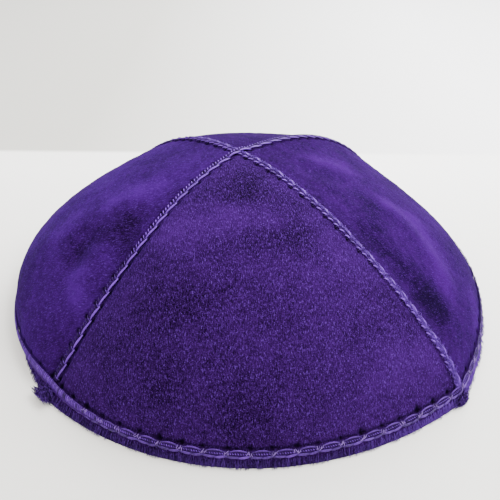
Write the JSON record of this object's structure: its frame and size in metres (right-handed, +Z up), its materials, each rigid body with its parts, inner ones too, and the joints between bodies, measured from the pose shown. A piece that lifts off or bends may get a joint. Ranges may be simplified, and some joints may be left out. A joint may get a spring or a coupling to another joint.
{
  "type": "kippah skullcap",
  "caption": "Shallow suede skullcap of sewn panels, with braid over the seams and around the raw-edged rim, hollow inside.",
  "frame": {"origin": "on the surface that the cap stands on, under the middle of its outline", "axes": "+Z up through the crown, -Y towards the front, +X towards the right as seen from the front"},
  "size_m": [0.1722, 0.1692, 0.0546],
  "materials": {
    "suede": "napped violet suede, matt",
    "soutache": "violet rayon braid with a soft sheen"
  },
  "bodies": {
    "root": {"panel_front": "suede", "panel_right": "suede", "panel_back": "suede", "panel_left": "suede", "seam_braid_over": "soutache", "seam_braid_under": "soutache", "rim_braid": "soutache"}
  },
  "joints": []
}
